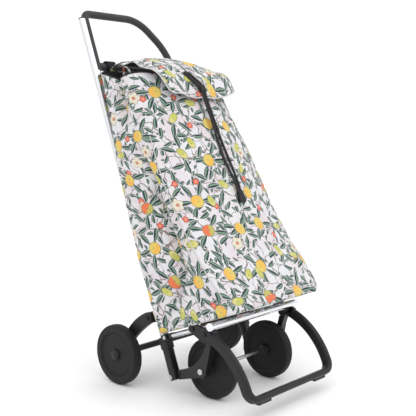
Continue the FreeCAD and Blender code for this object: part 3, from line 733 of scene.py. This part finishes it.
def ribbon(name, path, width, shift, material):
    """Flat band along a smooth path of lean-axis points."""
    count, across = 36, 6
    line = [lean(*along(path, k / count)) for k in range(count + 1)]
    rows, panel, travelled = [], [], 0.0
    for k, spot in enumerate(line):
        ahead, behind = line[min(k + 1, count)], line[max(k - 1, 0)]
        direction = (ahead - behind).normalized()
        side = (ACROSS - direction * ACROSS.dot(direction))
        side = side.normalized() if side.length > 0.3 else FORWARD.copy()
        travelled += (spot - line[max(k - 1, 0)]).length
        steps = [(j / across - 0.5) * width for j in range(across + 1)]
        rows.append([spot + side * step for step in steps])
        panel.append([(shift + step, travelled) for step in steps])
    band = grid_piece(name, rows, panel)
    place(band, "frame", "bag_fabric", material)
    thicken(band, 0.0020)
    return band


def bag_straps():
    """Cloth loops that hang the bag from the grip's crossbar, and the gathered cord loop beside one."""
    for name, side in (("left", -1), ("right", 1)):
        node = "bag_loop_" + name
        low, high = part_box(node)
        x = (low.x + high.x) / 2
        front, back, top, foot = 0.0125, -0.0115, CROSSBAR_S + 0.0150, CROSSBAR_S - 0.022
        path = [(x, 0.0130, foot - 0.02), (x, 0.0130, foot), (x, front, CROSSBAR_S),
                (x, 0.009, top - 0.003), (x, 0.0, top), (x, -0.009, top - 0.003),
                (x, back, CROSSBAR_S), (x, -0.009, CROSSBAR_S - 0.013),
                (x, 0.002, CROSSBAR_S - 0.018), (x, 0.010, foot - 0.008)]
        strap = ribbon("bag_strap_" + name, path, high.x - low.x, 0.3 * side, LINING)
        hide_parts(node)
        arch = [(side * 0.113, 0.009, 0.744), (side * 0.112, 0.012, 0.757), (side * 0.111, 0.030, 0.766),
                (side * 0.108, 0.053, 0.766), (side * 0.099, 0.075, 0.761), (side * 0.092, 0.101, 0.748),
                (side * 0.090, 0.115, 0.734)]
        ribbon("bag_arch_" + name, arch, 0.011, 0.5, FINISH["bag_fabric"])
        small = [(side * 0.110, 0.055, 0.722), (side * 0.110, 0.060, 0.741), (side * 0.110, 0.069, 0.747),
                 (side * 0.110, 0.079, 0.739), (side * 0.111, 0.085, 0.719), (side * 0.113, 0.090, 0.700)]
        ribbon("bag_small_loop_" + name, small, 0.007, 0.7, FINISH["bag_fabric"])


# ---- flap ----
FLAP_LINE = (
    (0.016, 0.7750), (0.052, 0.7780), (0.098, 0.7660), (0.140, 0.7400),
    (0.178, 0.7050), (0.204, 0.6560), (0.2165, 0.5960),
)
FLAP_LEFT = (0.070, 0.082, 0.100, 0.119, 0.127, 0.118, 0.104)
FLAP_RIGHT = (0.134, 0.140, 0.146, 0.152, 0.156, 0.160, 0.160)
FLAP_ROWS, FLAP_COLUMNS = 56, 64


def flap_spot(q, x):
    """Lean-axis place on the flap: q 0 at the back to 1 at the hem, x -1 to 1 across."""
    t, s = along([Vector((*p, 0)) for p in FLAP_LINE], q).xy
    half = along([Vector((h, 0, 0)) for h in (FLAP_LEFT if x < 0 else FLAP_RIGHT)], q).x
    wrap = abs(x) ** 2.6
    droop = 0.022 * wrap * math.sin(math.pi * min(q * 1.15, 1.0)) * (1 - smooth((q - 0.6) / 0.4))
    back = 0.010 * wrap * smooth((q - 0.35) / 0.65)
    lift = 0.028 * wrap * smooth((q - 0.6) / 0.4)
    wave = 0.0030 * math.sin(9.0 * x + 1.3) * smooth((q - 0.55) / 0.45)
    rumple = 0.0035 * noise.noise(Vector((x * 4.0, q * 5.0, 3.0))) * smooth(q * 4)
    return half * x, t - back + wave + rumple, s - droop + lift + rumple


def flap():
    """Printed flap over the mouth, with its hem and stitching."""
    rows, panel = [], []
    for r in range(FLAP_ROWS + 1):
        q = r / FLAP_ROWS
        row = [flap_spot(q, 2 * c / FLAP_COLUMNS - 1) for c in range(FLAP_COLUMNS + 1)]
        rows.append([lean(*spot) for spot in row])
        panel.append([(0.9 + spot[0], 1.4 - q * 0.30) for spot in row])
    sheet = grid_piece("flap_cloth", rows, panel)
    place(sheet, "flap", "bag_fabric", FINISH["bag_fabric"])
    thicken(sheet, 0.0016, LINING)
    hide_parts("bag_flap")

    edge = [row[0] for row in rows] + rows[-1][1:] + [row[-1] for row in rows[-2::-1]]
    hem = place(tube_piece("flap_hem", edge, FLAP_HEM_R), "flap", "bag_fabric", THREAD)
    inset = [row[3] for row in rows[:-3]] + rows[-4][4:-4] + [row[-4] for row in rows[-5::-1]]
    raised = [p + (UP * 0.6 + FORWARD * 0.8).normalized() * 0.0007 for p in inset]
    stitches = place(stitch_row("flap_stitch", raised), "flap", "bag_fabric", THREAD)


# ---- pull cord ----
CORD_LENGTH, CORD_R = 0.2915, 0.0035


def strand_route(side):
    """Route of one strand of the pull cord, as its solid has it."""
    drift = (5.0, 5.0, 9.0, 14.0, 18.5, 22.5, 27.0, 27.0)
    spread = {-1: (4.2, 4.2, 4.6, 5.4, 8.6, 9.4, 4.6, 4.6), 1: (4.2, 4.2, 4.4, 5.0, 7.6, 9.8, 4.6, 4.6)}
    depth = (223.5, 223.5, 224.5, 223.5, 223.0, 226.0, 232.5, 232.5)
    height = (612.0, 588.0, 545.0, 495.0, 445.0, 395.0, 348.0, 322.0)
    rows = zip(drift, spread[side], depth, height)
    return [lean((d + side * x) / 1000, t / 1000, s / 1000) for d, x, t, s in rows]


def nurbs_cord(name, points, radius):
    """Curve whose control points are the cord's route."""
    curve = bpy.data.curves.new(name, "CURVE")
    curve.dimensions = "3D"
    curve.bevel_depth = radius
    curve.bevel_resolution = 5
    curve.resolution_u = 16
    curve.use_fill_caps = True
    line = curve.splines.new("NURBS")
    line.points.add(len(points) - 1)
    for spot, point in zip(line.points, points):
        spot.co = (*point, 1)
    line.order_u = 3
    line.use_endpoint_u = True
    piece = bpy.data.objects.new(name, curve)
    bpy.context.scene.collection.objects.link(piece)
    return piece


def rounded_prism(name, outline, depth, bevel):
    """Prism from an outline of row-frame points, with rounded edges; depth is a vector."""
    count = len(outline)
    spots = list(outline) + [p + depth for p in outline]
    faces = [tuple(range(count)), tuple(range(2 * count - 1, count - 1, -1))]
    faces += [(k + count, (k + 1) % count + count, (k + 1) % count, k) for k in range(count)]
    piece = mesh_piece(name, spots, faces)
    round_off = piece.modifiers.new("edges", "BEVEL")
    round_off.width = bevel
    round_off.segments = 4
    round_off.limit_method = "ANGLE"
    piece.modifiers.new("normals", "WEIGHTED_NORMAL")
    return piece


def eyelet():
    """Long black oval ring on the flap, with the block that the cord leaves."""
    tilt = math.radians(26.6)
    centre = lean(-0.004, 0.2110, 0.650)
    long_way = UP * math.cos(tilt) - FORWARD * math.sin(tilt) - ACROSS * 0.30
    reach, radius = 0.0235, 0.0080
    facing = ACROSS.cross(long_way).normalized()
    rows = []
    for k in range(65):
        turn = math.tau * k / 64
        shift = long_way * (reach * max(-1.0, min(1.0, 4 * math.sin(turn))))
        spoke = ACROSS * math.cos(turn) + long_way * math.sin(turn)
        spine = centre + shift + spoke * radius
        row = []
        for j in range(17):
            a = math.tau * j / 16
            row.append(spine + spoke * (0.0050 * math.cos(a)) + facing * (0.0042 * math.sin(a)))
        rows.append(row)
    ring = place(grid_piece("eyelet_ring", rows), "flap", "cord_fitting", FINISH["cord_fitting"])
    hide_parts("flap_ring")
    corners = ((-0.005, 0.612), (0.015, 0.612), (0.012, 0.632), (-0.004, 0.632))
    outline = [lean(x, 0.2170, s) for x, s in corners]
    block = rounded_prism("cord_block", outline, FORWARD * 0.012, 0.003)
    place(block, "flap", "cord_fitting", FINISH["cord_fitting"])


def end_piece():
    """Flared fitting that joins the two strands."""
    spots = (
        (0.018, 0.323), (0.036, 0.323), (0.0365, 0.315),
        (0.040, 0.289), (0.014, 0.289), (0.0175, 0.315),
    )
    outline = [lean(x, 0.2285, s) for x, s in spots]
    piece = rounded_prism("cord_end_piece", outline, FORWARD * 0.010, 0.0028)
    place(piece, "flap", "cord_fitting", FINISH["cord_fitting"])
    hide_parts("cord_end")
    return piece


def pull_cord():
    """Both strands of the hanging pull cord, with its fittings."""
    eyelet()
    end = end_piece()
    for name, side in (("left", -1), ("right", 1)):
        route = strand_route(side)
        strand = place(nurbs_cord("pull_strand_" + name, route, CORD_R), "flap", "cord", FINISH["cord"])
        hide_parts("pull_cord_" + name)


# ---- wheels ----
def lathe(name, profile, centre, steps=128):
    """Turns (radius, along X) points about an axis through centre."""
    spots, faces = [], []
    for k in range(steps):
        turn = math.tau * k / steps
        for r, u in profile:
            spots.append(centre + Vector((u, r * math.cos(turn), r * math.sin(turn))))
    wide = len(profile)
    for k in range(steps):
        for j in range(wide - 1):
            a, b = k * wide + j, ((k + 1) % steps) * wide + j
            faces.append((a, a + 1, b + 1, b))
    return mesh_piece(name, spots, faces)


def face_line(radius, side, rings):
    """Dished face of a wheel from hub to shoulder, with concentric grooves."""
    line = []
    bore, half = 0.0150, 0.0140
    steps = 90
    for k in range(steps + 1):
        r = bore + (radius - 0.007 - bore) * k / steps
        rise = smooth((r / radius - 0.70) / 0.09)
        depth = 0.0098 + (half - 0.0098) * rise
        for share in rings:
            depth -= 0.0014 * math.exp(-((r - share * radius) / 0.0013) ** 2)
        line.append((r, side * depth))
    return line


def wheel(name, node_name, body, centre, radius, side, rings):
    """Foam wheel with a crowned tread, grooved faces and hub boss."""
    outer = face_line(radius, side, rings)
    inner = face_line(radius, -side, rings[:1])
    crown = []
    for k in range(1, 24):
        angle = math.pi * k / 24
        u = side * 0.0140 * math.cos(angle)
        crown.append((radius - 0.007 + 0.007 * math.sin(angle) ** 0.55, u))
    tyre = lathe(name + "_tyre", outer + crown + inner[::-1], centre)
    place(tyre, body, "wheel_foam", FINISH["wheel_foam"])
    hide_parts(node_name.format("tyre"))
    low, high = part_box(node_name.format("hub"))
    reach = [low.x - centre.x, high.x - centre.x]
    a, b = sorted(reach, key=lambda v: side * v)
    boss = [(0.0051, a), (0.0135, a), (0.0150, a + side * 0.0015), (0.0150, b - side * 0.002),
            (0.0135, b), (0.0051, b)]
    hub = lathe(name + "_hub", boss, centre, 64)
    place(hub, body, "hub_plastic", FINISH["hub_plastic"])
    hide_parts(node_name.format("hub"))


def wheels():
    """All four wheels, with their ring grooves at shares of the radius."""
    for name, side in (("left", -1), ("right", 1)):
        front = middle("front_tyre_" + name)
        rear = middle("rear_tyre_" + name)
        wheel("front_" + name, "front_{}_" + name, "front_wheel_" + name,
              Vector((front.x, FRONT_AXLE.y, FRONT_AXLE.z)), FRONT_AXLE.z, side, (0.86, 0.76))
        wheel("rear_" + name, "rear_{}_" + name, "rear_wheel_" + name,
              Vector((rear.x, REAR_AXLE.y, REAR_AXLE.z)), REAR_AXLE.z, side, (0.72,))


def axle_caps():
    """Low round caps over the ends of the rear axle."""
    for name, side in (("left", -1), ("right", 1)):
        rear = middle("rear_tyre_" + name)
        rise = (
            (0.0, 0.0192), (0.006, 0.0190), (0.011, 0.0179),
            (0.0150, 0.0150), (0.0160, 0.0125), (0.0160, 0.0095),
        )
        profile = [(radius, side * out) for radius, out in rise]
        cap = lathe("rear_axle_cap_" + name, profile, Vector((rear.x, REAR_AXLE.y, REAR_AXLE.z)), 64)
        place(cap, "rear_frame", "hub_plastic", FINISH["hub_plastic"])
        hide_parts("rear_axle_nuts")


# ---- stage ----
def stage():
    """Floor, light and camera."""
    bpy.ops.mesh.primitive_plane_add(size=60)
    floor = bpy.context.object
    floor.name = "floor"
    floor.data.materials.append(Shader("floor", (0.95, 0.95, 0.955), 0.8).material)

    world = bpy.data.worlds.new("studio")
    bpy.context.scene.world = world
    world.use_nodes = True
    world.node_tree.nodes["Background"].inputs[0].default_value = (1, 1, 1, 1)
    world.node_tree.nodes["Background"].inputs[1].default_value = 1.05

    for turn, height, strength, spread in ((-75, 50, 0.35, 50), (25, 52, 0.62, 60)):
        lamp = bpy.data.lights.new("studio_light", "SUN")
        lamp.energy = strength
        lamp.angle = math.radians(spread)
        holder = bpy.data.objects.new("studio_light", lamp)
        holder.rotation_euler = (math.radians(90 - height), 0, math.radians(turn))
        bpy.context.scene.collection.objects.link(holder)

    camera = bpy.data.cameras.new("camera")
    camera.sensor_width = 36.0
    camera.lens = 64.57
    holder = bpy.data.objects.new("camera", camera)
    holder.location = (-1.4952, -1.2797 + FRONT_AXLE.y, 0.7181)
    holder.rotation_euler = (math.radians(90 - 6.621), 0, math.radians(-46.832))
    bpy.context.scene.collection.objects.link(holder)
    bpy.context.scene.camera = holder
    bpy.context.scene.view_settings.view_transform = "Standard"


paint_frame()
bag()
bag_straps()
flap()
pull_cord()
wheels()
axle_caps()
stage()
